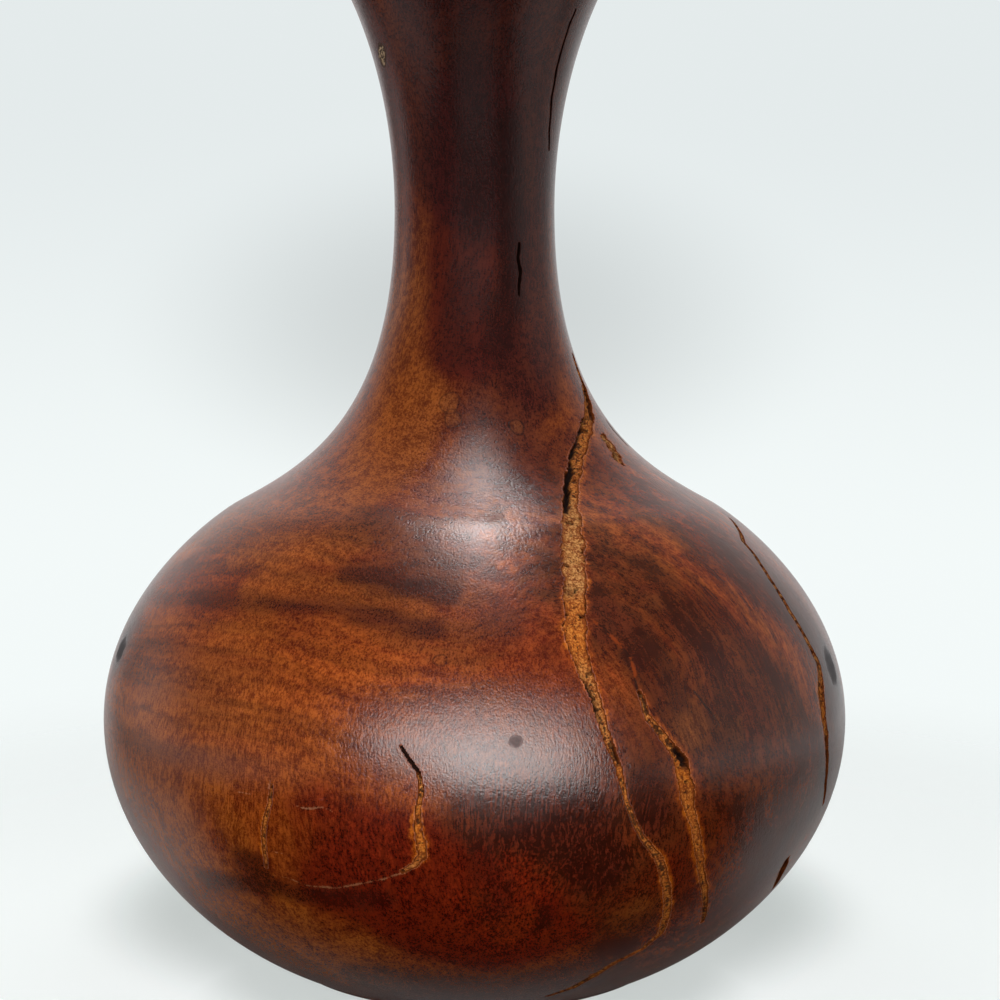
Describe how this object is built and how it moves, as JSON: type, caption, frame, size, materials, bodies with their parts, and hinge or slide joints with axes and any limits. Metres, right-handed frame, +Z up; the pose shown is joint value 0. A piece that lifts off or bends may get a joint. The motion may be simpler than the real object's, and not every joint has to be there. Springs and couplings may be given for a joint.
{
  "type": "vase",
  "caption": "Turned burl-wood flower vase with a round belly, a long flared neck, natural bark-filled seams and a lift-out glass liner.",
  "frame": {"origin": "centre of the felt pad's underside, on the ground", "axes": "+Z up along the turning axis to the rim, -Y towards the front with the long bark seam, +X to the right seen from the front"},
  "size_m": [0.18, 0.18, 0.25],
  "materials": {
    "vase_wood": "satin oil and wax",
    "plug_wood": "sanded and oiled",
    "bark": "raw, rough",
    "knot_wood": "satin oil and wax",
    "felt": "matt felt",
    "liner_glass": "clear, fire-polished"
  },
  "bodies": {
    "vase": {"vase_body": "vase_wood", "foot_plug": "plug_wood", "felt_pad": "felt", "front_fissure_bark": "bark", "right_fissure_bark": "bark", "hook_fissure_bark": "bark", "left_vein_bark": "bark", "side_fissure_bark": "bark", "shoulder_pit_bark": "bark", "lower_pit_bark": "bark", "neck_knot": "knot_wood", "shoulder_knot": "knot_wood", "belly_knot": "knot_wood"},
    "liner": {"water_liner": "liner_glass"}
  },
  "joints": [
    {"name": "liner_lift", "type": "slide", "parent": "vase", "child": "liner", "axis": [0, 0, 1], "range_m": [0, 0.145]}
  ]
}
